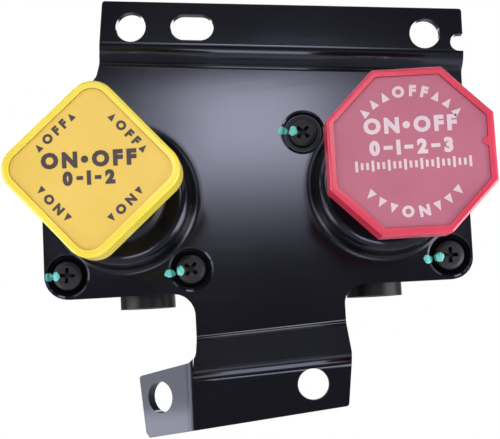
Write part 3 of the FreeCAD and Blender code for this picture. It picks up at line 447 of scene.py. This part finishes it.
def screw_ground(r):
    """Depth of the surface at distance r from a cover screw: its head, the well, then the plate."""
    return np.interp(r, [0.0, 3.3, 4.28, 4.6, 4.61, 6.0, 6.13, 6.5, 7.1],
                     [-0.6, -0.5, -0.05, 0.7, 1.8, 1.8, 0.9, 0.32, 0.0])


def dab(name, screw, middle, half, seed):
    """A dab of marking paint: a closed low dome with a wavy rim, laid on the surface below it.

    The rim's reach is the half size times one plus three small waves round it, and the paint's
    height falls off as the square root of one minus the square of the distance to the rim.
    """
    thick, sunk, back_sunk, wave = 0.20, 0.02, 0.05, 0.07
    rng = np.random.default_rng(seed)
    around = np.linspace(0.0, 2.0 * np.pi, 40, endpoint=False)
    out = np.linspace(0.0, 1.0, 9)[1:]
    waves = sum(wave * rng.uniform(0.4, 1.0) * np.cos(count * around + rng.uniform(0, 6.3))
                for count in (2, 3, 5))
    x = middle[0] + np.outer(out, (1.0 + waves) * np.cos(around)) * half[0]
    z = middle[1] + np.outer(out, (1.0 + waves) * np.sin(around)) * half[1]
    x = np.concatenate([[middle[0]], x.ravel()])
    z = np.concatenate([[middle[1]], z.ravel()])
    fall = np.concatenate([[0.0], np.repeat(out, around.size)])
    ground = screw_ground(np.hypot(x - screw[0], z - screw[1]))
    front = ground + sunk - thick * np.sqrt(np.clip(1.0 - fall ** 2, 0.0, 1.0))
    back = ground + back_sunk
    n, m = out.size, around.size
    step = np.arange(m)
    after = (step + 1) % m
    fan = np.column_stack([np.zeros(m, int), 1 + step, 1 + after])
    rows = (1 + m * np.arange(n - 1))[:, None]
    quads = np.stack([rows + step, rows + m + step, rows + m + after, rows + after],
                     axis=2).reshape(-1, 4)
    count = x.size
    rim = 1 + m * (n - 1)
    wall = np.column_stack([rim + after, rim + step, rim + step + count, rim + after + count])
    faces = (fan.tolist() + quads.tolist() + (fan[:, ::-1] + count).tolist()
             + (quads[:, ::-1] + count).tolist() + wall.tolist())
    places = np.vstack([np.column_stack([x, front, z]), np.column_stack([x, back, z])])
    item = piece(name, places, faces, DAB, "housing")
    item.data.shade_smooth()


# Each row: place, screw, middle on the plate, half width there, middle on the screw's head
DABS = (("lower_left", (-59.7, -23.3), (-65.6, -23.4), 1.10, (-63.4, -23.4)),
        ("lower_middle", (-20.8, -23.3), (-27.5, -24.3), 1.65, (-24.2, -23.7)),
        ("upper_middle", (16.7, 18.1), (10.4, 19.0), 1.65, (13.6, 18.6)),
        ("lower_right", (60.3, -23.3), (53.5, -24.2), 1.65, (56.9, -23.8)))
for step, (where, screw, on_plate, half, on_head) in enumerate(DABS):
    dab(where + "_plate_dab", screw, on_plate, (half, 1.35), 11 + step)
    dab(where + "_screw_dab", screw, on_head, (1.40, 1.55), 31 + step)


def key_nub():
    """A half-round nub of the red rim that keys the face plate, domed at its front edge.

    Round its half circle the reach is 1.25 mm, and its front rim rolls off over a quarter circle.
    """
    radius, edge, thick, rise, stretch = 1.25, 0.3, 0.62, 0.55, 1.15
    middle_x, middle_z = 60.65, 1.4
    roll = np.radians([0.0, 30.0, 60.0, 90.0])
    swing = np.radians(np.linspace(90.0, 270.0, 17))
    reach = np.concatenate([[radius], radius - edge * (1.0 - np.cos(roll))])
    depth = np.concatenate([[thick], edge - edge * np.sin(roll)])
    x = middle_x + np.outer(reach, np.cos(swing)) * stretch
    z = middle_z + np.outer(reach, np.sin(swing))
    y = np.repeat(LABEL_FACE - rise + depth, swing.size).reshape(x.shape)
    m = swing.size
    rows = (m * np.arange(reach.size - 1))[:, None]
    step = np.arange(m - 1)
    quads = np.stack([rows + step, rows + step + 1, rows + m + step + 1, rows + m + step],
                     axis=2).reshape(-1, 4)
    last = m * (reach.size - 1)
    cap = list(range(last, last + m))
    flat = [m * k for k in range(reach.size)] + [m * k + m - 1 for k in range(reach.size - 1, -1, -1)]
    base = list(range(m))[::-1]
    faces = quads.tolist() + [cap, flat, base]
    piece("supply_key_nub", np.column_stack([x.ravel(), y.ravel(), z.ravel()]), faces,
          SKINS["red_knob"], "supply_plunger")


key_nub()


def return_spring(side, centre):
    """A compression spring of round wire, as long along Y as the part's spring it stands for.

    Its centre line is a helix of six turns, and each section round it is a circle.
    """
    depths = np.array([corner.co[1] for corner in nodes[side + "_spring"].data.vertices]) / MM
    front, floor_depth = depths.min(), depths.max()
    wire, radius, turns, sides = 0.65, 6.9, 6, 10
    along = np.linspace(0.0, 1.0, turns * 24 + 1)[:, None]
    swing = 2.0 * np.pi * turns * along
    section = np.linspace(0.0, 2.0 * np.pi, sides, endpoint=False)[None, :]
    reach = radius + wire * np.cos(section)
    x = centre + reach * np.cos(swing)
    z = reach * np.sin(swing)
    y = front + wire + along * (floor_depth - front - 2.0 * wire) + wire * np.sin(section)
    rows = (sides * np.arange(along.size - 1))[:, None]
    step = np.arange(sides)
    after = (step + 1) % sides
    quads = np.stack([rows + step, rows + after, rows + sides + after, rows + sides + step],
                     axis=2).reshape(-1, 4)
    last = sides * (along.size - 1)
    faces = quads.tolist() + [step.tolist()[::-1], list(range(last, last + sides))]
    places = np.column_stack([x.ravel(), y.ravel(), z.ravel()])
    item = piece(side + "_return_spring", places, faces, SKINS["bright_steel"], "housing",
                 (side + "_spring",))
    item.data.shade_smooth()
    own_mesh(item)


return_spring("park", -PLUNGER_X)
return_spring("supply", PLUNGER_X)


# Floor, light and camera
def floor():
    """A pale floor that the camera itself sees as white."""
    half, level = 3.0, -0.3
    mesh = bpy.data.meshes.new("floor")
    mesh.from_pydata([(-half, -half, level), (half, -half, level), (half, half, level),
                      (-half, half, level)], [], [(0, 1, 2, 3)])
    item = bpy.data.objects.new("floor", mesh)
    bpy.context.scene.collection.objects.link(item)
    s = Shader("floor")
    grain = s.noise(30.0, 3.0)
    shade = s.mix(grain, (0.58, 0.58, 0.59), (0.64, 0.64, 0.65))
    diffuse = s.add("ShaderNodeBsdfDiffuse", {"Color": shade})
    white = s.add("ShaderNodeEmission", {"Color": (1.0, 1.0, 1.0), "Strength": 1.0})
    ray = s.add("ShaderNodeLightPath").outputs["Is Camera Ray"]
    choice = s.add("ShaderNodeMixShader")
    s.give(choice.inputs[0], ray)
    s.give(choice.inputs[1], diffuse.outputs[0])
    s.give(choice.inputs[2], white.outputs[0])
    s.tree.links.new(choice.outputs[0], s.output.inputs[0])
    mesh.materials.append(s.material)


floor()

world = bpy.data.worlds.new("studio")
bpy.context.scene.world = world
world.use_nodes = True
tree = world.node_tree
tree.nodes.clear()
path = tree.nodes.new("ShaderNodeLightPath")
seen = tree.nodes.new("ShaderNodeBackground")
seen.inputs[0].default_value = (1.0, 1.0, 1.0, 1.0)
lit = tree.nodes.new("ShaderNodeBackground")
lit.inputs[0].default_value = (0.90, 0.94, 1.0, 1.0)
lit.inputs[1].default_value = 0.18
choice = tree.nodes.new("ShaderNodeMixShader")
end = tree.nodes.new("ShaderNodeOutputWorld")
tree.links.new(path.outputs["Is Camera Ray"], choice.inputs[0])
tree.links.new(lit.outputs[0], choice.inputs[1])
tree.links.new(seen.outputs[0], choice.inputs[2])
tree.links.new(choice.outputs[0], end.inputs[0])


def softbox(name, azimuth, elevation, reach, width, height, power):
    """A rectangular area light that faces the object.

    Azimuth is 0 in front and grows to the right. Reach is the distance to the light in metres.
    """
    a, e = math.radians(azimuth), math.radians(elevation)
    out = Vector((math.sin(a) * math.cos(e), -math.cos(a) * math.cos(e), math.sin(e)))
    data = bpy.data.lights.new(name, "AREA")
    data.shape = "RECTANGLE"
    data.size = width
    data.size_y = height
    data.energy = power
    item = bpy.data.objects.new(name, data)
    item.location = out * reach
    item.rotation_euler = out.to_track_quat("Z", "Y").to_euler()
    bpy.context.scene.collection.objects.link(item)


def panel(name, azimuth, elevation, reach, wide, high, glow):
    """A softbox given by the half angles it fills, in degrees, and by its brightness."""
    width = 2.0 * reach * math.tan(math.radians(wide))
    height = 2.0 * reach * math.tan(math.radians(high))
    softbox(name, azimuth, elevation, reach, width, height, glow * math.pi * width * height)


# The front light is one softbox graded downwards and sideways, built from nested panels.
# Each row: the panel's lower edge, its half width and its brightness. All share their top edge.
FRONT_TOP = 15.3
FRONT_STEPS = ((10.2, 3.4, 3.1), (8.6, 5.2, 3.0), (7.0, 7.4, 2.4), (5.4, 10.0, 1.4), (3.8, 14.0, 0.55))
for step, (low, wide, glow) in enumerate(FRONT_STEPS):
    panel("front_panel_%d" % step, 0.0, (FRONT_TOP + low) / 2.0, 1.6 + 0.01 * step, wide,
          (FRONT_TOP - low) / 2.0, glow)
panel("left_low_panel", -74.0, -1.0, 0.60, 13.0, 12.0, 3.3)
panel("left_mid_panel", -51.0, -2.0, 0.60, 8.0, 11.0, 4.6)
panel("left_key_panel", -45.0, 32.0, 1.20, 18.0, 18.0, 1.35)
panel("right_key_panel", 48.0, 25.0, 1.20, 18.0, 18.0, 1.40)
panel("top_panel", 0.0, 80.0, 1.30, 23.0, 10.0, 0.8)
panel("top_strip", 0.0, 47.0, 1.30, 7.0, 12.0, 4.6)
panel("low_front_panel", -2.5, -30.0, 0.42, 9.0, 9.0, 4.4)
panel("right_low_panel", 72.0, -22.0, 0.25, 24.0, 16.0, 6.6)
panel("left_under_panel", -72.0, -28.0, 0.25, 18.0, 9.0, 4.2)
panel("back_left_panel", -150.0, 28.0, 1.20, 16.0, 20.0, 2.4)
panel("back_right_panel", 158.0, 22.0, 1.20, 16.0, 20.0, 2.8)

bpy.context.scene.view_settings.view_transform = "Standard"

LENS = 72.6
SENSOR = 36.0
CAMERA_PLACE = Vector((0.69, -315.2, -42.3))
camera_data = bpy.data.cameras.new("camera")
camera_data.lens = LENS
camera_data.sensor_width = SENSOR
camera_data.sensor_fit = "HORIZONTAL"
camera_data.clip_start = 0.01
camera = bpy.data.objects.new("camera", camera_data)
right = Vector((0.9985, 0.0128, -0.0539)).normalized()
ahead = Vector((-0.0070, 0.9944, 0.1058)).normalized()
up = right.cross(ahead).normalized()
right = ahead.cross(up).normalized()
turn = Matrix((right, up, -ahead)).transposed().to_4x4()
camera.matrix_world = Matrix.Translation(CAMERA_PLACE * MM) @ turn
bpy.context.scene.collection.objects.link(camera)
bpy.context.scene.camera = camera

bpy.context.view_layer.update()
